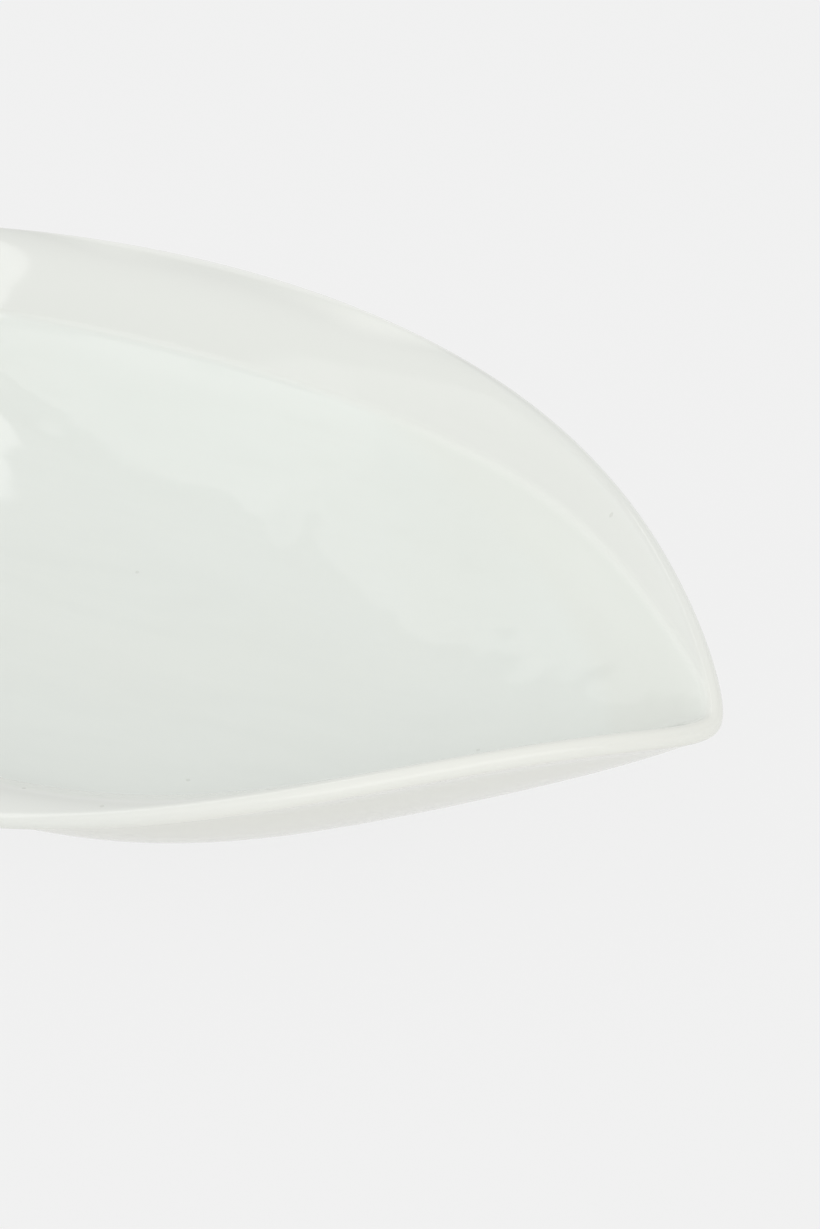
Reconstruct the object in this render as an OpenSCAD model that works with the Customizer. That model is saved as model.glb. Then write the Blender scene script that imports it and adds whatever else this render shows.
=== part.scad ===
// Leaf shaped serving dish: a deep leaf pointed at both ends, whose lip rolls over along
// the middle of each long side. A moulded clay body stands on an oval foot ring, and a
// glaze coat covers all but the foot's resting face.
// The origin is the middle of the resting face. X runs from tip to tip, and Z is up.

/* [Leaf outline] */
// Length of the rim's middle line, from tip to tip
leaf_length = 310; // [260:1:380]
// Width of the rim's middle line, across the middle of the leaf
leaf_width = 192; // [160:1:230]
// Share of the width that follows a plain ellipse, which keeps the tips round
tip_round_share = 0.3; // [0.25:0.01:0.6]
// How far the tips are drawn out, as the power of the rest of the width
tip_power = 1.15; // [0.9:0.05:1.6]

/* [Bowl] */
// Length of the floor, inside the foot of the wall
floor_length = 136; // [120:1:170]
// Width of the floor
floor_width = 76; // [64:1:96]
// How gently the floor turns up into the wall, as a share of the wall
floor_ease_share = 0.12; // [0.05:0.01:0.2]
// Shallow dishing of the whole leaf, from its middle to its rim
leaf_sag = 5; // [2:0.5:10]
// Rise of the wall at the middle of a long side
side_rise = 37; // [28:0.5:46]
// Rise of the wall at the haunch, next to the middle
haunch_rise = 43; // [34:0.5:52]
// Rise of the wall at the shoulder, next to the tip
shoulder_rise = 42; // [33:0.5:51]
// Rise of the wall at the tip
tip_rise = 30; // [22:0.5:40]
// How far up the wall its lip starts to roll outwards, at the middle of a long side
side_roll_share = 0.6; // [0.5:0.01:0.7]
// The same at the haunch
haunch_roll_share = 0.82; // [0.76:0.01:0.88]
// The same at the shoulder
shoulder_roll_share = 0.9; // [0.86:0.01:0.93]
// The same at the tip
tip_roll_share = 0.95; // [0.93:0.01:0.96]
// Slope of the lip at the middle of a long side, as a share of its rise: below 0 it rolls over
side_lip_share = -1; // [-1.4:0.05:0]
// Slope of the lip at the haunch
haunch_lip_share = 0.8; // [0:0.05:1.5]
// Slope of the lip at the shoulder
shoulder_lip_share = 1.1; // [0.5:0.05:1.8]
// Slope of the lip at the tip
tip_lip_share = 1.6; // [1:0.05:2.2]

/* [Wall] */
// Thickness of the clay body
body_wall = 3.8; // [3:0.1:5]
// Thickness of the glaze on each face
glaze_thickness = 0.3; // [0.2:0.05:0.5]

/* [Foot] */
// Height of the foot ring
foot_height = 5; // [4.5:0.5:8]
// Width of the foot ring's resting face
foot_width = 5; // [3:0.5:8]
// Distance from the edge of the floor in to the foot ring
foot_inset = 5.5; // [3:0.5:8]
// Height of the band at the foot's edge that is wiped bare of glaze
bare_band = 0.8; // [0.5:0.1:1.5]

/* [Hidden] */

// Points round every ring, and rings up the wall, over the floor and round the rim
around = 72;
wall_rings = 12;
floor_rings = 3;
rim_rings = 6;

// Steps for measuring slopes: degrees round the leaf, and a share of the wall
turn_step = 0.5;
climb_step_share = 0.005;

// How far a cut runs past the face that it opens
overrun = 1;

angles = [for (i = [0 : around - 1]) 360 * i / around];
rises = [side_rise, haunch_rise, shoulder_rise, tip_rise];
roll_shares = [side_roll_share, haunch_roll_share, shoulder_roll_share, tip_roll_share];
lip_shares = [side_lip_share, haunch_lip_share, shoulder_lip_share, tip_lip_share];
floor_middle_z = foot_height + body_wall / 2;
foot_inner_inset = foot_inset + foot_width;

// Places between the middle of the floor (-1), its edge (0) and the rim (1), going outwards
outward_places = [
    for (i = [1 - floor_rings : 0]) i / floor_rings,
    for (i = [1 : wall_rings]) i / wall_rings
];
inward_places = [for (i = [wall_rings : -1 : 0]) i / wall_rings];

// Value at share v of the way from a side's middle (0) to the tip (1), through four stations
function between_stations(v, s) =
    let (w = 3 * v)
    s[0] * (1 - w) * (2 - w) * (3 - w) / 6
    + s[1] * w * (2 - w) * (3 - w) / 2
    + s[2] * w * (w - 1) * (3 - w) / 2
    + s[3] * w * (w - 1) * (w - 2) / 6;

// Plan of the rim, and of the floor's edge drawn in by an inset
function rim_plan(a) = [
    leaf_length / 2 * cos(a),
    leaf_width / 2 * sin(a)
        * (tip_round_share + (1 - tip_round_share) * pow(abs(sin(a)), tip_power))
];
function oval_plan(a, inset) = [
    (floor_length / 2 - inset) * cos(a),
    (floor_width / 2 - inset) * sin(a)
];

// Share of the wall that is climbed at a place: 0 over the floor and 1 at the rim, with a gentle
// turn between them at the floor's edge
function climbed(place) = floor_ease_share * ln(1 + exp(place / floor_ease_share));
function leaf_plan(a, place) =
    (1 + place) * oval_plan(a, 0) + climbed(place) * (rim_plan(a) - 2 * oval_plan(a, 0));

// Height of the wall over the floor: a bowl, less a roll outwards that starts below the lip. The
// two are set so that the wall ends at its full rise, with the lip's slope
function wall_climb(a, place) =
    let (
        v = pow(cos(a), 2),
        up = climbed(place),
        roll_start = between_stations(v, roll_shares),
        roll_span = 1 - roll_start,
        bowl = (2 - between_stations(v, lip_shares) * roll_span) / (2 * roll_start),
        roll = (bowl - 1) / pow(roll_span, 2)
    )
    between_stations(v, rises) * (bowl * pow(up, 2) - roll * pow(max(0, up - roll_start), 2));

// The middle of the clay wall, which the two faces of every layer lie beside
function middle(a, place) =
    let (
        p = leaf_plan(a, place),
        sag = leaf_sag * (pow(2 * p.x / leaf_length, 2) + pow(2 * p.y / leaf_width, 2))
    )
    [p.x, p.y, floor_middle_z + sag + wall_climb(a, place)];

function unit(v) = v / norm(v);
function along_ring(a, place) = middle(a + turn_step, place) - middle(a - turn_step, place);
function up_wall(a, place) =
    middle(a, place + climb_step_share) - middle(a, place - climb_step_share);
function inner_normal(a, place) = unit(cross(up_wall(a, place), along_ring(a, place)));
function past_rim(a) = unit(cross(along_ring(a, 1), inner_normal(a, 1)));

// Rings of a layer's face at a distance from the middle of the wall: up the inside from the
// floor, round the rim and down the outside to the floor's edge
function inside_rings(reach) = [
    for (place = outward_places)
        [for (a = angles) middle(a, place) + reach * inner_normal(a, place)]
];
function lip_rings(reach) = [
    for (i = [1 : rim_rings - 1])
        let (c = 180 * i / rim_rings)
        [for (a = angles)
            middle(a, 1) + reach * (cos(c) * inner_normal(a, 1) + sin(c) * past_rim(a))]
];
function outside_rings(reach) = [
    for (place = inward_places)
        [for (a = angles) middle(a, place) - reach * inner_normal(a, place)]
];
function leaf_rings(reach) = concat(inside_rings(reach), lip_rings(reach), outside_rings(reach));
function oval_ring(inset, z) = [for (a = angles) [each oval_plan(a, inset), z]];

function reversed(rows) = [for (i = [len(rows) - 1 : -1 : 0]) rows[i]];

// A closed solid through a stack of rings, with a point to close each end. From ring
// turned_from on, the stack retraces another layer's face backwards, and its bands are split
// along the other diagonal, so that both layers have the same facets
module ring_stack(first, rings, last, turned_from) {
    points = [first, for (r = rings) each r, last];
    end = len(points) - 1;
    first_fan = [for (i = [0 : around - 1]) [0, 1 + (i + 1) % around, 1 + i]];
    bands = [
        for (r = [0 : len(rings) - 2], i = [0 : around - 1])
            let (
                j = (i + 1) % around,
                a = 1 + r * around + i,
                b = 1 + r * around + j,
                c = b + around,
                d = a + around
            )
            each r < turned_from ? [[a, b, c], [a, c, d]] : [[a, b, d], [b, c, d]]
    ];
    last_row = end - around;
    last_fan = [for (i = [0 : around - 1]) [end, last_row + i, last_row + (i + 1) % around]];
    polyhedron(points = points, faces = concat(first_fan, bands, last_fan), convexity = 6);
}

// The moulded clay leaf, flat underneath where the foot ring sits
module dish_body() {
    reach = body_wall / 2;
    rings = concat(leaf_rings(reach), [oval_ring(foot_inset, foot_height)]);
    color([0.93, 0.91, 0.87])
        ring_stack([0, 0, floor_middle_z + reach], rings, [0, 0, foot_height], len(rings));
}

// The clay ring that the leaf stands on
module foot_ring() {
    outer = [for (a = angles) oval_plan(a, foot_inset)];
    inner = [for (a = angles) oval_plan(a, foot_inner_inset)];
    color([0.86, 0.82, 0.75])
        linear_extrude(height = foot_height)
            polygon(
                points = concat(outer, inner),
                paths = [[for (i = [0 : around - 1]) i], [for (i = [0 : around - 1]) around + i]]
            );
}

// The glaze over the whole leaf and down the outside of the foot ring
module glaze_coat() {
    clay_reach = body_wall / 2;
    glaze_reach = clay_reach + glaze_thickness;
    outer_face = concat(
        leaf_rings(glaze_reach),
        [
            oval_ring(foot_inset - glaze_thickness, foot_height - glaze_thickness),
            oval_ring(foot_inset - glaze_thickness, bare_band),
            oval_ring(foot_inset, bare_band)
        ]
    );
    clay_face = concat([oval_ring(foot_inset, foot_height)], reversed(leaf_rings(clay_reach)));
    color([0.90, 0.93, 0.90])
        ring_stack(
            [0, 0, floor_middle_z + glaze_reach],
            concat(outer_face, clay_face),
            [0, 0, floor_middle_z + clay_reach],
            len(outer_face)
        );
}

// The glaze under the leaf, inside the foot ring
module foot_well_glaze() {
    glazed_height = foot_height - bare_band;
    color([0.88, 0.91, 0.88])
        difference() {
            translate([0, 0, bare_band])
                linear_extrude(height = glazed_height)
                    polygon([for (a = angles) oval_plan(a, foot_inner_inset)]);
            translate([0, 0, bare_band - overrun])
                linear_extrude(height = glazed_height - glaze_thickness + overrun)
                    polygon([for (a = angles) oval_plan(a, foot_inner_inset + glaze_thickness)]);
        }
}

dish_body();
foot_ring();
glaze_coat();
foot_well_glaze();
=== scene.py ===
"""A leaf shaped dish in white glazed clay, on a pale floor in soft studio light.

The dish is worked out in metres by the same rules as its solids: a wall between an oval floor
and a leaf shaped rim, a half round lip, an oval foot ring and a thin coat of glaze.
"""

import math

import bpy
import numpy as np
from mathutils import Matrix, Vector


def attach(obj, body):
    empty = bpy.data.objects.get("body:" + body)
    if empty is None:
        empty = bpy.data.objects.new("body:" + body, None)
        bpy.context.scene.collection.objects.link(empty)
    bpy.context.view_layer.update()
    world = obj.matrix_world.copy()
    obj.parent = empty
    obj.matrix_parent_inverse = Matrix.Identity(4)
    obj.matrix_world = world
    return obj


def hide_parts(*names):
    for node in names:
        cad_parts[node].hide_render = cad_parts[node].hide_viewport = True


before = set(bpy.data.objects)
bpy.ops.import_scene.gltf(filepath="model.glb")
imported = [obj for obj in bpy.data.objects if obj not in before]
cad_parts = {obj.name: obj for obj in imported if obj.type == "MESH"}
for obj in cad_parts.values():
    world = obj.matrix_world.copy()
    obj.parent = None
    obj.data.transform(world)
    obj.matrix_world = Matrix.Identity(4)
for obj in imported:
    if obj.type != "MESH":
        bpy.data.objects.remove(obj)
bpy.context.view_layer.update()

MM = 0.001

# Sizes of the dish, as its solids have them
LEAF_LENGTH = 310 * MM
LEAF_WIDTH = 192 * MM
TIP_ROUND_SHARE = 0.3
TIP_POWER = 1.15
FLOOR_LENGTH = 136 * MM
FLOOR_WIDTH = 76 * MM
FLOOR_EASE_SHARE = 0.12
LEAF_SAG = 5 * MM
BODY_WALL = 3.8 * MM
GLAZE_THICKNESS = 0.3 * MM
FOOT_HEIGHT = 5 * MM
FOOT_WIDTH = 5 * MM
FOOT_INSET = 5.5 * MM
BARE_BAND = 0.8 * MM
FLOOR_MIDDLE_Z = FOOT_HEIGHT + BODY_WALL / 2

# At four stations from a side's middle to the tip: the wall's rise, how far up it the lip
# starts to roll outwards, and the lip's slope as a share of the rise
RISES = np.array([37, 43, 42, 30]) * MM
ROLL_SHARES = np.array([0.6, 0.82, 0.9, 0.95])
LIP_SHARES = np.array([-1, 0.8, 1.1, 1.6])

# Finish that the solids leave out: rounded clay edges and glaze that fills the foot's corner
FOOT_EDGE_RADIUS = 0.9 * MM
GLAZE_FILLET = 1.8 * MM

# How far up the wall the glaze's crease and the edge of its pool lie: the crease at the four
# stations, and how much higher it lies at the middle of the near side
CREASE_SHARES = np.array([0.655, 0.84, 0.92, 1.02])
NEAR_CREASE_RISE = 0.09
POOL_SHARE = 0.76

# Fineness of the meshes, and the steps for measuring slopes
AROUND = 288
WALL_RINGS = 56
FLOOR_RINGS = 18
LIP_RINGS = 16
ARC_STEPS = 6

ANGLES = np.arange(AROUND) * 2 * math.pi / AROUND
TURN_STEP = math.radians(0.5)
CLIMB_STEP = 0.005


def between_stations(v, s):
    """Value at share v of the way from a side's middle to the tip, through four stations."""
    w = 3 * v
    return (
        s[0] * (1 - w) * (2 - w) * (3 - w) / 6
        + s[1] * w * (2 - w) * (3 - w) / 2
        + s[2] * w * (w - 1) * (3 - w) / 2
        + s[3] * w * (w - 1) * (w - 2) / 6
    )


def rim_plan(a):
    """The rim seen from above, at an angle round the leaf."""
    s = np.sin(a)
    width = TIP_ROUND_SHARE + (1 - TIP_ROUND_SHARE) * np.abs(s) ** TIP_POWER
    return np.stack([LEAF_LENGTH / 2 * np.cos(a), LEAF_WIDTH / 2 * s * width], -1)


def oval_plan(a, inset):
    """The floor's edge seen from above, drawn in by an inset."""
    return np.stack(
        [(FLOOR_LENGTH / 2 - inset) * np.cos(a), (FLOOR_WIDTH / 2 - inset) * np.sin(a)], -1
    )


def wall_climb(a, up):
    """Height over the floor at share up of the wall: a bowl, less a roll outwards near the lip."""
    v = np.cos(a) ** 2
    roll_start = between_stations(v, ROLL_SHARES)
    roll_span = 1 - roll_start
    bowl = (2 - between_stations(v, LIP_SHARES) * roll_span) / (2 * roll_start)
    roll = (bowl - 1) / roll_span**2
    return between_stations(v, RISES) * (bowl * up**2 - roll * np.maximum(0, up - roll_start) ** 2)


def middle(a, place):
    """The middle of the clay wall at a place from the floor's middle to the rim.

    The place is -1 at the floor's middle, 0 at the floor's edge and 1 at the rim.
    """
    up = FLOOR_EASE_SHARE * math.log(1 + math.exp(place / FLOOR_EASE_SHARE))
    p = (1 + place) * oval_plan(a, 0) + up * (rim_plan(a) - 2 * oval_plan(a, 0))
    sag = LEAF_SAG * ((2 * p[:, 0] / LEAF_LENGTH) ** 2 + (2 * p[:, 1] / LEAF_WIDTH) ** 2)
    return np.column_stack([p, FLOOR_MIDDLE_Z + sag + wall_climb(a, up)])


def unit(v):
    return v / np.linalg.norm(v, axis=-1, keepdims=True)


def directions(a, place):
    """The wall's normal on its inner side, and the way on past its edge."""
    along = middle(a + TURN_STEP, place) - middle(a - TURN_STEP, place)
    up = middle(a, place + CLIMB_STEP) - middle(a, place - CLIMB_STEP)
    normal = unit(np.cross(up, along))
    return normal, unit(np.cross(along, normal))


def face_ring(place, reach):
    """A ring of a layer's face: on the inner side where reach is positive."""
    return middle(ANGLES, place) + reach * directions(ANGLES, place)[0]


def leaf_rings(reach):
    """Rings over the whole leaf: out from the floor, over the lip and back to the floor's edge."""
    normal, past = directions(ANGLES, 1)
    edge = middle(ANGLES, 1)
    floor = [face_ring(i / FLOOR_RINGS - 1, reach) for i in range(1, FLOOR_RINGS)]
    inside = [face_ring(i / WALL_RINGS, reach) for i in range(WALL_RINGS + 1)]
    turns = [math.pi * i / LIP_RINGS for i in range(1, LIP_RINGS)]
    lip = [edge + reach * (math.cos(t) * normal + math.sin(t) * past) for t in turns]
    outside = [face_ring(i / WALL_RINGS, -reach) for i in range(WALL_RINGS, -1, -1)]
    return floor + inside + lip + outside


def oval_ring(inset, z):
    return np.column_stack([oval_plan(ANGLES, inset), np.full(AROUND, z)])


def arc_rings(start, corner, end):
    """Rings that round off the corner between two rings."""
    shares = [i / ARC_STEPS for i in range(ARC_STEPS + 1)]
    return [(1 - t) ** 2 * start + 2 * t * (1 - t) * corner + t**2 * end for t in shares]


def mesh_piece(name, points, faces, material, node):
    """A smooth closed mesh that stands for a solid and rides with it."""
    mesh = bpy.data.meshes.new(name)
    mesh.from_pydata(points.tolist(), [], faces)
    mesh.shade_smooth()
    mesh.materials.append(material)
    piece = bpy.data.objects.new(name, mesh)
    bpy.context.scene.collection.objects.link(piece)
    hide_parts(node)
    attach(piece, "root")
    return piece


def band(r, s):
    """The four sided faces between the rings that start at points r and s."""
    return [
        (r + i, s + i, s + (i + 1) % AROUND, r + (i + 1) % AROUND) for i in range(AROUND)
    ]


def stacked(rings, first_z, last_z):
    """Points and faces of a closed stack of rings with a middle point at each end."""
    points = np.vstack([[[0, 0, first_z]], *rings, [[0, 0, last_z]]])
    end = len(points) - 1
    starts = [1 + r * AROUND for r in range(len(rings))]
    faces = [(0, 1 + i, 1 + (i + 1) % AROUND) for i in range(AROUND)]
    for r, s in zip(starts, starts[1:]):
        faces += band(r, s)
    last = starts[-1]
    faces += [(end, last + (i + 1) % AROUND, last + i) for i in range(AROUND)]
    return points, faces


def looped(rings):
    """Points and faces of a closed loop of rings, such as a foot ring's."""
    starts = [r * AROUND for r in range(len(rings))]
    faces = []
    for r, s in zip(starts, starts[1:] + starts[:1]):
        faces += band(r, s)
    return np.vstack(rings), faces


def glaze_to_foot(underside, foot_inset, inwards):
    """Glaze from the underside down the foot ring's side: a filled corner, then a rounded end.

    inwards is 1 where the glaze lies outside the ring and -1 where it lies in its well.
    """
    side = foot_inset - inwards * GLAZE_THICKNESS
    under_z = FOOT_HEIGHT - GLAZE_THICKNESS
    corner = oval_ring(side, under_z)
    away = oval_ring(side - inwards * GLAZE_FILLET, under_z)
    if underside is not None:
        reach = np.linalg.norm(underside - corner, axis=1, keepdims=True)
        away = corner + (underside - corner) * GLAZE_FILLET / reach
    below = oval_ring(side, under_z - GLAZE_FILLET)
    end_top = oval_ring(side, BARE_BAND + GLAZE_THICKNESS)
    end_corner = oval_ring(side, BARE_BAND)
    end_bottom = oval_ring(foot_inset, BARE_BAND)
    return arc_rings(away, corner, below) + arc_rings(end_top, end_corner, end_bottom)


def make_leaf_body(material):
    """The fired clay leaf, which the glaze hides."""
    reach = BODY_WALL / 2
    rings = leaf_rings(reach) + [oval_ring(FOOT_INSET, FOOT_HEIGHT)]
    points, faces = stacked(rings, FLOOR_MIDDLE_Z + reach, FOOT_HEIGHT)
    mesh_piece("leaf_body", points, faces, material, "dish_body")


def make_leaf_glaze(material):
    """The glaze over the leaf and down the outside of the foot ring."""
    clay_reach = BODY_WALL / 2
    reach = clay_reach + GLAZE_THICKNESS
    outer = leaf_rings(reach)
    rings = outer + glaze_to_foot(outer[-1], FOOT_INSET, 1)
    clay = leaf_rings(clay_reach)
    rings += [oval_ring(FOOT_INSET, FOOT_HEIGHT)] + clay[::-1]
    points, faces = stacked(rings, FLOOR_MIDDLE_Z + reach, FLOOR_MIDDLE_Z + clay_reach)
    piece = mesh_piece("leaf_glaze", points, faces, material, "glaze_coat")
    add_distances(piece, rings)


def up_the_wall(wall, shares):
    """How far over the glaze a share of the wall lies, on each line up it."""
    steps = np.arange(WALL_RINGS + 1) / WALL_RINGS
    return np.array([np.interp(shares[i], steps, wall[:, i]) for i in range(AROUND)])


def add_distances(piece, rings):
    """Stores how far each point of the glaze lies past its pool, its crease and the lip's crest.

    The pool is the part of the bowl where the glaze ran together, and the crease is a faint line
    in the glaze near where the wall starts to roll outwards.
    """
    steps = [np.linalg.norm(b - a, axis=1) for a, b in zip(rings, rings[1:])]
    travelled = np.vstack([np.zeros(AROUND), np.cumsum(steps, axis=0)])
    wall = travelled[FLOOR_RINGS - 1 : FLOOR_RINGS + WALL_RINGS]
    near = np.maximum(0, -np.sin(ANGLES)) ** 2
    crease_shares = between_stations(np.cos(ANGLES) ** 2, CREASE_SHARES) + NEAR_CREASE_RISE * near
    lines = {
        "past_lip": travelled[FLOOR_RINGS - 1 + WALL_RINGS + LIP_RINGS // 2],
        "past_crease": up_the_wall(wall, crease_shares),
        "past_pool": up_the_wall(wall, np.full(AROUND, POOL_SHARE)),
    }
    for name, line in lines.items():
        past = travelled - line
        values = np.concatenate([[past[0].mean()], past.ravel(), [past[-1].mean()]])
        attribute = piece.data.attributes.new(name, "FLOAT", "POINT")
        attribute.data.foreach_set("value", values.astype(np.float32))


def make_foot_ring(material):
    """The bare clay ring that the dish stands on, with its resting edges rounded."""
    inner = FOOT_INSET + FOOT_WIDTH
    r = FOOT_EDGE_RADIUS
    outer_edge = arc_rings(
        oval_ring(FOOT_INSET, r), oval_ring(FOOT_INSET, 0), oval_ring(FOOT_INSET + r, 0)
    )
    inner_edge = arc_rings(oval_ring(inner - r, 0), oval_ring(inner, 0), oval_ring(inner, r))
    tops = [oval_ring(inner, FOOT_HEIGHT), oval_ring(FOOT_INSET, FOOT_HEIGHT)]
    points, faces = looped(outer_edge + inner_edge + tops)
    mesh_piece("foot_ring_clay", points, faces, material, "foot_ring")


def make_foot_well_glaze(material):
    """The glaze under the dish, inside the foot ring."""
    foot_inner = FOOT_INSET + FOOT_WIDTH
    under_z = FOOT_HEIGHT - GLAZE_THICKNESS
    side = glaze_to_foot(None, foot_inner, -1)
    flat_edge = side[0]
    centre = np.array([0, 0, under_z])
    flat = [centre + (flat_edge - centre) * i / FLOOR_RINGS for i in range(1, FLOOR_RINGS)]
    back = [oval_ring(foot_inner, FOOT_HEIGHT)]
    points, faces = stacked((flat + side + back)[::-1], FOOT_HEIGHT, under_z)
    mesh_piece("foot_well_glaze_skin", points, faces, material, "foot_well_glaze")


# Materials

RISING = (0.0, 1.0)
FALLING = (1.0, 0.0)


def new_material(name):
    material = bpy.data.materials.new(name)
    material.use_nodes = True
    tree = material.node_tree
    shader = tree.nodes["Principled BSDF"]
    return material, tree, shader


def add(tree, kind, inputs=None, **settings):
    """A node with its settings and its unlinked inputs filled in."""
    n = tree.nodes.new(kind)
    for key, value in settings.items():
        setattr(n, key, value)
    for key, value in (inputs or {}).items():
        n.inputs[key].default_value = value
    return n


def link(tree, out, into):
    tree.links.new(out, into)


def noise(tree, place, scale, detail, roughness=0.5):
    """Noise in the dish's own coordinates. The scale is in cycles per metre."""
    n = add(tree, "ShaderNodeTexNoise", {"Scale": scale, "Detail": detail, "Roughness": roughness})
    link(tree, place, n.inputs["Vector"])
    return n.outputs["Fac"]


def ramp(tree, value, span, ends=RISING):
    """Goes smoothly from one end to the other while a value crosses a span."""
    n = add(
        tree,
        "ShaderNodeMapRange",
        {"From Min": span[0], "From Max": span[1], "To Min": ends[0], "To Max": ends[1]},
        interpolation_type="SMOOTHSTEP",
    )
    link(tree, value, n.inputs["Value"])
    return n.outputs["Result"]


def mix_color(tree, factor, a, b):
    """Mixes two colours, each a value or an output."""
    n = add(tree, "ShaderNodeMix", data_type="RGBA")
    link(tree, factor, n.inputs["Factor"])
    for socket, colour in ((n.inputs["A"], a), (n.inputs["B"], b)):
        if isinstance(colour, tuple):
            socket.default_value = colour
        else:
            link(tree, colour, socket)
    return n.outputs["Result"]


def combine(tree, operation, a, b):
    """A sum, product or other function of two numbers, each a value or an output."""
    n = add(tree, "ShaderNodeMath", operation=operation)
    for socket, value in ((n.inputs[0], a), (n.inputs[1], b)):
        if isinstance(value, (int, float)):
            socket.default_value = value
        else:
            link(tree, value, socket)
    return n.outputs["Value"]


def unsigned(tree, value):
    """A number without its sign."""
    return combine(tree, "ABSOLUTE", value, 0.0)


def separate(tree, place):
    """The X, Y and Z of coordinates or of a direction."""
    n = add(tree, "ShaderNodeSeparateXYZ")
    link(tree, place, n.inputs[0])
    return n.outputs


def scaled(tree, place, factors):
    """Coordinates times a factor for each axis."""
    n = add(tree, "ShaderNodeVectorMath", operation="MULTIPLY")
    link(tree, place, n.inputs[0])
    n.inputs[1].default_value = factors
    return n.outputs["Vector"]


def plan_distance(tree, place, x, y):
    """Distance from a spot, seen from above."""
    n = add(tree, "ShaderNodeVectorMath", operation="DISTANCE")
    link(tree, scaled(tree, place, (1, 1, 0)), n.inputs[0])
    n.inputs[1].default_value = (x, y, 0)
    return n.outputs["Value"]


def scattered_spots(tree, place, cells, chance, radius):
    """Small round spots, one in some cells of a scattered pattern: cells is per metre."""
    n = add(tree, "ShaderNodeTexVoronoi", {"Scale": cells})
    link(tree, place, n.inputs["Vector"])
    parts = add(tree, "ShaderNodeSeparateColor")
    link(tree, n.outputs["Color"], parts.inputs["Color"])
    chosen = combine(tree, "LESS_THAN", parts.outputs["Red"], chance)
    spot = ramp(tree, n.outputs["Distance"], (radius * cells / 2, radius * cells), FALLING)
    return combine(tree, "MULTIPLY", chosen, spot)


def bump(tree, shader, height, distance):
    n = add(tree, "ShaderNodeBump", {"Distance": distance})
    link(tree, height, n.inputs["Height"])
    link(tree, n.outputs["Normal"], shader.inputs["Normal"])


def srgb(r, g, b):
    """A colour written as 0 to 255 screen values, as linear light."""
    def linear(c):
        c /= 255
        return c / 12.92 if c <= 0.04045 else ((c + 0.055) / 1.055) ** 2.4
    return (linear(r), linear(g), linear(b), 1.0)


# The values that noise mostly lies between
NOISE_RANGE = (0.3, 0.7)

# The glaze's tint in the bowl: greener where it pooled, and cloudy there. Distances are along
# the glaze's face, past its pool, its crease or the lip's crest
GLAZE_BOWL = srgb(232, 235, 229)
GLAZE_POOLED = srgb(233, 237, 232)
BOWL_RANGE = (-1.2 * MM, 1.0 * MM)
POOL_RANGE = (-4 * MM, 3 * MM)
POOLED_SHARES = (1.0, 0.1)
CLOUD_SCALE = 18
CLOUD_SHARES = (0.5, 1.0)

# Its tint on the brim and outside the lip, and painted shade that makes the brim's near side
# darker.
# The near side is told by how far across the leaf a point lies
GLAZE_BRIM = srgb(230, 232, 227)
GLAZE_NEAR_BRIM_SHADE = srgb(226, 228, 223)
GLAZE_UNDER = srgb(232, 233, 225)
NEAR_RANGE = (-5 * MM, 25 * MM)
UNDER_RANGE = (-0.5 * MM, 2.5 * MM)

# A painted highlight along the crease, a pale line that shows more towards the tips
GLAZE_PAINTED_LIGHT = srgb(248, 250, 244)
CREASE_HIGHLIGHT_WIDTH = 2.2 * MM
CREASE_HIGHLIGHT_RANGE = (30 * MM, 80 * MM)
CREASE_HIGHLIGHT_SHARES = (0.04, 0.24)

# On the near lip, the glaze's creamy tint brightened by a painted highlight, which shows more
# towards the tips
GLAZE_CREAM_HIGHLIGHT = srgb(239, 240, 233)
CREAM_HIGHLIGHT_LIP_RANGE = (1.5 * MM, 4 * MM)
CREAM_HIGHLIGHT_RANGE = (30 * MM, 130 * MM)
CREAM_HIGHLIGHT_SHARES = (0.2, 1.0)

# Painted light on the far lip: a paler band, widest and showing most about the lip's middle. It
# fades from a share of its width outwards
FAR_LIP_MIDDLE = (10 * MM, 96 * MM)
FAR_LIP_RANGE = (28 * MM, 62 * MM)
FAR_LIP_WIDTHS = (12 * MM, 2.5 * MM)
FAR_LIP_SHARES = (1.0, 0.5)
FAR_LIP_FADE = (0.3, 1.0)

# Open pinholes in the glaze: the larger ones in millimetres as seen from above, and small ones
PINHOLE = srgb(150, 150, 135)
PINHOLE_SHARE = 0.16
PINHOLE_RADIUS = 0.55 * MM
PINHOLES = [(102.2, 1.3), (53.9, -84.1), (45.9, -24.8), (35.9, -83.2), (6.9, 35.3), (115.9, 42.8)]
SMALL_PINHOLES = {"cells": 45, "chance": 0.12, "radius": 0.3 * MM}

# Its gloss
GLAZE_IOR = 1.52
GLAZE_ROUGHNESS = (0.06, 0.1)
GLAZE_ROUGHNESS_SCALE = 60

# Its relief, with all heights as shares of one: waves and fine streaks, which are drawn out
# along the leaf and fade past the crease, then the crease, one swelling and the pinholes
GLAZE_RELIEF = 0.9 * MM
WAVE_SCALE = 45
WAVE_DRAW = (0.4, 1, 1)
STREAK_SCALE = 260
STREAK_DRAW = (0.15, 1, 1)
STREAK_HEIGHT = 0.035
WAVE_RANGE = (-8 * MM, 6 * MM)
WAVE_HEIGHTS = (2.0, 0.05)
CREASE_WIDTH = 1.3 * MM
CREASE_DEPTH = 0.12
SWELLING = (38 * MM, 52 * MM)
SWELLING_RADIUS = 8 * MM
SWELLING_HEIGHT = 0.5
PINHOLE_DEPTH = 0.06


def glaze_pinholes(tree, place):
    """1 in the middle of an open pinhole and 0 past its edge: the larger ones and small ones."""
    pinholes = scattered_spots(tree, place, **SMALL_PINHOLES)
    for x, y in PINHOLES:
        away = plan_distance(tree, place, x * MM, y * MM)
        hole = ramp(tree, away, (PINHOLE_RADIUS / 2, PINHOLE_RADIUS), FALLING)
        pinholes = combine(tree, "MAXIMUM", pinholes, hole)
    return pinholes


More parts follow.
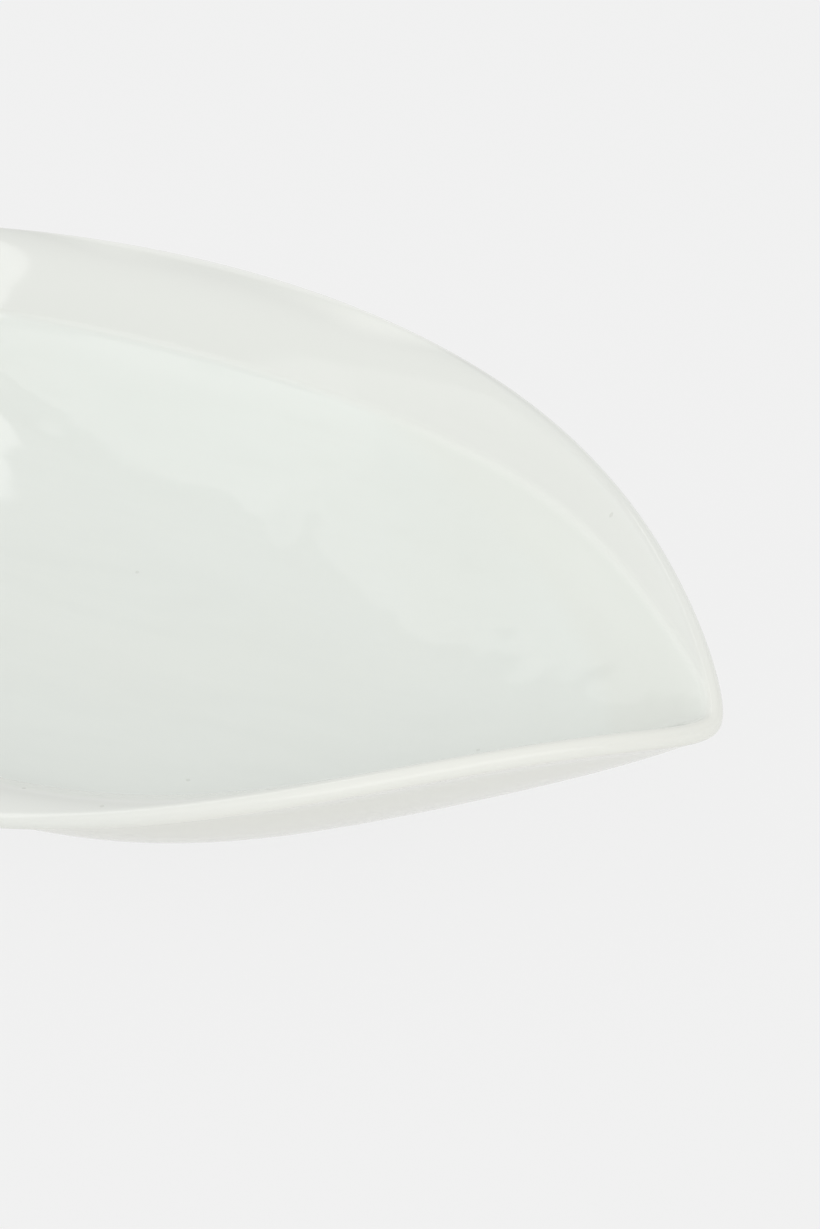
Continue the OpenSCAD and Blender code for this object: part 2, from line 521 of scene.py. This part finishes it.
def glaze_tint_and_painted_light(tree, place, past_lip, past_crease, past_pool):
    """Green where pooled, greyer on the brim, creamy on the near lip; painted shade on the near
    brim, painted highlights on the crease and lips.
    """
    parts = separate(tree, place)
    near_side = ramp(tree, parts["Y"], NEAR_RANGE, FALLING)
    from_middle = unsigned(tree, parts["X"])

    pooled = ramp(tree, past_pool, POOL_RANGE, POOLED_SHARES)
    clouds = ramp(tree, noise(tree, place, CLOUD_SCALE, detail=4.0), NOISE_RANGE, CLOUD_SHARES)
    pooled = combine(tree, "MULTIPLY", pooled, clouds)
    bowl = mix_color(tree, pooled, GLAZE_BOWL, GLAZE_POOLED)
    # The brim is painted darker on its near side: painted shade
    brim = mix_color(tree, near_side, GLAZE_BRIM, GLAZE_NEAR_BRIM_SHADE)
    tint = mix_color(tree, ramp(tree, past_lip, UNDER_RANGE), brim, GLAZE_UNDER)
    tint = mix_color(tree, ramp(tree, past_crease, BOWL_RANGE, FALLING), tint, bowl)

    # A pale line painted along the crease: a painted highlight, stronger towards the tips
    at_crease = ramp(tree, unsigned(tree, past_crease), (0.0, CREASE_HIGHLIGHT_WIDTH), FALLING)
    pale = ramp(tree, from_middle, CREASE_HIGHLIGHT_RANGE, CREASE_HIGHLIGHT_SHARES)
    tint = mix_color(tree, combine(tree, "MULTIPLY", pale, at_crease), tint, GLAZE_PAINTED_LIGHT)

    from_lip = unsigned(tree, past_lip)
    # The near lip is painted brighter: the glaze's creamy tint and a painted highlight over it
    at_near_lip = ramp(tree, from_lip, CREAM_HIGHLIGHT_LIP_RANGE, FALLING)
    cream_highlight = ramp(tree, from_middle, CREAM_HIGHLIGHT_RANGE, CREAM_HIGHLIGHT_SHARES)
    near_lip_highlight = mix_color(tree, combine(tree, "MULTIPLY", at_near_lip, cream_highlight), tint, GLAZE_CREAM_HIGHLIGHT)

    # The far lip is painted paler: painted light
    from_far_middle = plan_distance(tree, place, *FAR_LIP_MIDDLE)
    width = ramp(tree, from_far_middle, FAR_LIP_RANGE, FAR_LIP_WIDTHS)
    at_far_lip = ramp(tree, combine(tree, "DIVIDE", from_lip, width), FAR_LIP_FADE, FALLING)
    pale = ramp(tree, from_far_middle, FAR_LIP_RANGE, FAR_LIP_SHARES)
    far_lip_painted_light = mix_color(tree, combine(tree, "MULTIPLY", at_far_lip, pale), tint, GLAZE_PAINTED_LIGHT)
    return mix_color(tree, near_side, far_lip_painted_light, near_lip_highlight)


def glaze_height(tree, place, past_crease, pinholes):
    """The glaze's relief: waves and streaks, a crease, a swelling and pinholes."""
    waves = noise(tree, scaled(tree, place, WAVE_DRAW), WAVE_SCALE, detail=2.0)
    streaks = noise(tree, scaled(tree, place, STREAK_DRAW), STREAK_SCALE, detail=1.0)
    streaks = combine(tree, "MULTIPLY", streaks, STREAK_HEIGHT)
    waves = combine(tree, "ADD", waves, streaks)
    waves = combine(tree, "MULTIPLY", waves, ramp(tree, past_crease, WAVE_RANGE, WAVE_HEIGHTS))
    from_crease = unsigned(tree, past_crease)
    crease = ramp(tree, from_crease, (0.0, CREASE_WIDTH), (-CREASE_DEPTH, 0.0))
    away = plan_distance(tree, place, *SWELLING)
    swelling = ramp(tree, away, (0.0, SWELLING_RADIUS), (SWELLING_HEIGHT, 0.0))
    height = combine(tree, "ADD", combine(tree, "ADD", waves, crease), swelling)
    holes = combine(tree, "MULTIPLY", pinholes, PINHOLE_DEPTH)
    return combine(tree, "SUBTRACT", height, holes)


def glaze_material():
    """Glossy glaze, which changes past its pool, its crease and the lip."""
    material, tree, shader = new_material("glaze")
    place = add(tree, "ShaderNodeTexCoord").outputs["Object"]
    past_lip, past_crease, past_pool = (
        add(tree, "ShaderNodeAttribute", attribute_name=name).outputs["Fac"]
        for name in ("past_lip", "past_crease", "past_pool")
    )
    pinholes = glaze_pinholes(tree, place)
    tint = glaze_tint_and_painted_light(tree, place, past_lip, past_crease, past_pool)
    dark = combine(tree, "MULTIPLY", pinholes, PINHOLE_SHARE)
    # The base colour holds painted shade and painted highlights as well as the glaze's tints
    link(tree, mix_color(tree, dark, tint, PINHOLE), shader.inputs["Base Color"])
    worn = noise(tree, place, GLAZE_ROUGHNESS_SCALE, detail=2.0)
    link(tree, ramp(tree, worn, NOISE_RANGE, GLAZE_ROUGHNESS), shader.inputs["Roughness"])
    shader.inputs["IOR"].default_value = GLAZE_IOR
    bump(tree, shader, glaze_height(tree, place, past_crease, pinholes), GLAZE_RELIEF)
    return material


# Bare fired clay, with a few iron specks
CLAY_DARK = srgb(226, 216, 198)
CLAY_PALE = srgb(234, 226, 211)
CLAY_CLOUD_SCALE = 90
CLAY_SPECK = srgb(170, 150, 120)
CLAY_SPECKS = {"cells": 260, "chance": 0.12, "radius": 0.3 * MM}
CLAY_GRAIN_SCALE = 1800
CLAY_ROUGHNESS = (0.75, 0.95)
CLAY_RELIEF = 0.08 * MM


def clay_material():
    """Bare fired clay: matt, cloudy and finely grained, with specks."""
    material, tree, shader = new_material("clay")
    place = add(tree, "ShaderNodeTexCoord").outputs["Object"]
    clouds = noise(tree, place, CLAY_CLOUD_SCALE, detail=3.0)
    shade = mix_color(tree, clouds, CLAY_DARK, CLAY_PALE)
    specks = scattered_spots(tree, place, **CLAY_SPECKS)
    link(tree, mix_color(tree, specks, shade, CLAY_SPECK), shader.inputs["Base Color"])
    grain = noise(tree, place, CLAY_GRAIN_SCALE, detail=5.0, roughness=0.6)
    link(tree, ramp(tree, grain, NOISE_RANGE, CLAY_ROUGHNESS), shader.inputs["Roughness"])
    bump(tree, shader, grain, CLAY_RELIEF)
    return material


# Studio

LIGHT_COLOUR = (1.0, 1.0, 1.0)

# The floor, which lies just under the foot. The share is how much of its colour glows
FLOOR_COLOUR = srgb(241, 241, 241)
FLOOR_GLOW_SHARE = 0.96
FLOOR_HALF = 6.0
FLOOR_DROP = 0.1 * MM


def seen_directly(tree):
    """1 for rays that show the background: from the camera, or off or through something shiny."""
    path = add(tree, "ShaderNodeLightPath")
    shiny = combine(
        tree, "MAXIMUM", path.outputs["Is Glossy Ray"], path.outputs["Is Transmission Ray"]
    )
    return combine(tree, "MAXIMUM", path.outputs["Is Camera Ray"], shiny)


def mix_shaders(tree, factor, a, b):
    """Mixes two shader nodes."""
    n = add(tree, "ShaderNodeMixShader")
    for socket, out in zip(n.inputs, (factor, a.outputs[0], b.outputs[0])):
        link(tree, out, socket)
    return n


def make_floor():
    """A pale floor. What is seen of it is mostly its own colour, so the dish's shadow is faint.

    It is clear from below, so that the dish's underside can be looked at.
    """
    mesh = bpy.data.meshes.new("floor")
    h, z = FLOOR_HALF, -FLOOR_DROP
    mesh.from_pydata([(-h, -h, z), (h, -h, z), (h, h, z), (-h, h, z)], [], [(0, 1, 2, 3)])
    floor = bpy.data.objects.new("floor", mesh)
    bpy.context.scene.collection.objects.link(floor)
    material, tree, shader = new_material("floor")
    tree.nodes.remove(shader)
    lit = add(tree, "ShaderNodeBsdfDiffuse", {"Color": FLOOR_COLOUR})
    faint = tuple(c * (1 - FLOOR_GLOW_SHARE) for c in FLOOR_COLOUR[:3]) + (1.0,)
    dim = add(tree, "ShaderNodeBsdfDiffuse", {"Color": faint})
    glow = add(tree, "ShaderNodeEmission", {"Color": FLOOR_COLOUR, "Strength": FLOOR_GLOW_SHARE})
    shown = add(tree, "ShaderNodeAddShader")
    link(tree, dim.outputs[0], shown.inputs[0])
    link(tree, glow.outputs[0], shown.inputs[1])
    from_above = mix_shaders(tree, seen_directly(tree), lit, shown)
    below = add(tree, "ShaderNodeNewGeometry").outputs["Backfacing"]
    both = mix_shaders(tree, below, from_above, add(tree, "ShaderNodeBsdfTransparent"))
    link(tree, both.outputs[0], tree.nodes["Material Output"].inputs["Surface"])
    mesh.materials.append(material)


# Soft glows of light from all round, each with its azimuth, elevation and strength, and how
# they fade with the cosine of the angle from their middle
WORLD_GLOWS = [
    (0, 25, 0.45),
    (60, 25, 0.04),
    (120, 25, 0.48),
    (180, 25, 0.2),
    (-120, 25, 0.4),
    (-60, 25, 0.1),
    (0, 90, 0.25),
]
GLOW_RANGE = (0.1, 1.0)

# How bright the horizon is, and the heights between which the glows take over from it
HORIZON_GLOW = 0.87
HORIZON_RANGE = (0.1, 0.3)


def make_world():
    """Soft light from all round the studio, pale at the horizon like the floor."""
    world = bpy.data.worlds.new("studio")
    bpy.context.scene.world = world
    world.use_nodes = True
    tree = world.node_tree
    light = tree.nodes["Background"]
    light.inputs["Color"].default_value = LIGHT_COLOUR + (1.0,)
    direction = add(tree, "ShaderNodeTexCoord").outputs["Generated"]
    glows = 0.0
    for azimuth, elevation, strength in WORLD_GLOWS:
        towards = add(tree, "ShaderNodeVectorMath", operation="DOT_PRODUCT")
        link(tree, direction, towards.inputs[0])
        towards.inputs[1].default_value = seen_from_camera(azimuth, elevation)
        glow = ramp(tree, towards.outputs["Value"], GLOW_RANGE, (0.0, strength))
        glows = combine(tree, "ADD", glows, glow)
    above_horizon = ramp(tree, separate(tree, direction)["Z"], HORIZON_RANGE)
    strength = add(tree, "ShaderNodeMix", {"A": HORIZON_GLOW})
    link(tree, above_horizon, strength.inputs["Factor"])
    link(tree, glows, strength.inputs["B"])
    link(tree, strength.outputs["Result"], light.inputs["Strength"])


# The camera looks down at the dish across its near side, turned towards a tip, and stands
# this far from a spot to the right of and above the middle of the dish's floor
CAMERA_AZIMUTH = math.radians(22.44)
CAMERA_ELEVATION = math.radians(39.64)
CAMERA_DISTANCE = 1.5
CAMERA_RIGHT = 80.45 * MM
CAMERA_UP = 12.03 * MM
CAMERA_LENS = 200.66
CAMERA_SENSOR = 36.0


def camera_axes():
    """The camera's right, up and forward directions."""
    sa, ca = math.sin(CAMERA_AZIMUTH), math.cos(CAMERA_AZIMUTH)
    se, ce = math.sin(CAMERA_ELEVATION), math.cos(CAMERA_ELEVATION)
    return Vector((ca, sa, 0)), Vector((-sa * se, ca * se, ce)), Vector((-sa * ce, ca * ce, -se))


def make_camera():
    right, up, forward = camera_axes()
    data = bpy.data.cameras.new("camera")
    data.lens = CAMERA_LENS
    data.sensor_width = CAMERA_SENSOR
    camera = bpy.data.objects.new("camera", data)
    bpy.context.scene.collection.objects.link(camera)
    centre = Vector((0, 0, FLOOR_MIDDLE_Z))
    place = centre + right * CAMERA_RIGHT + up * CAMERA_UP - forward * CAMERA_DISTANCE
    turned = Matrix((right, up, -forward)).transposed().to_4x4()
    camera.matrix_world = Matrix.Translation(place) @ turned
    bpy.context.scene.camera = camera


def seen_from_camera(azimuth, elevation):
    """A direction from the dish in degrees. Azimuth 0 is straight beyond it, 90 is to its right."""
    a = math.radians(azimuth) - CAMERA_AZIMUTH
    e = math.radians(elevation)
    return Vector((math.sin(a) * math.cos(e), math.cos(a) * math.cos(e), math.sin(e)))


# Soft boxes, placed by the camera's line of sight: metres to the right of the dish, beyond it
# and above the floor, the azimuth that the box faces, its tilt down from level, its width and
# height, and its glow, where 1 is as bright as a white floor looks
SOFT_BOXES = {
    "left_box": (-1.50, -1.48, 0.82, 84, 31.5, 2.0, 1.6, 0.74),
    "left_far_box": (-1.67, 0.11, 0.82, 84, 31.5, 1.2, 1.6, 0.52),
    "right_box": (1.09, -1.30, 1.06, -40, 32, 1.6, 1.1, 0.85),
    "top_strip": (-0.347, -0.23, 1.5, 17.5, 90, 0.16, 3.0, 1.72),
}


def make_soft_box(name, right, beyond, up, facing, tilt, width, height, glow):
    """A soft box with an evenly bright face, which the camera doesn't see."""
    data = bpy.data.lights.new(name, "AREA")
    data.shape = "RECTANGLE"
    data.size, data.size_y = width, height
    data.energy = glow * math.pi * width * height
    data.color = LIGHT_COLOUR
    lamp = bpy.data.objects.new(name, data)
    lamp.visible_camera = False
    lamp.location = seen_from_camera(90, 0) * right + seen_from_camera(0, 0) * beyond
    lamp.location.z = up
    lamp.rotation_euler = (math.radians(90 - tilt), 0, CAMERA_AZIMUTH - math.radians(facing))
    bpy.context.scene.collection.objects.link(lamp)


def main():
    glaze, clay = glaze_material(), clay_material()
    make_leaf_body(clay)
    make_leaf_glaze(glaze)
    make_foot_ring(clay)
    make_foot_well_glaze(glaze)
    make_floor()
    make_world()
    make_camera()
    for name, measures in SOFT_BOXES.items():
        make_soft_box(name, *measures)
    bpy.context.scene.view_settings.view_transform = "Standard"


main()
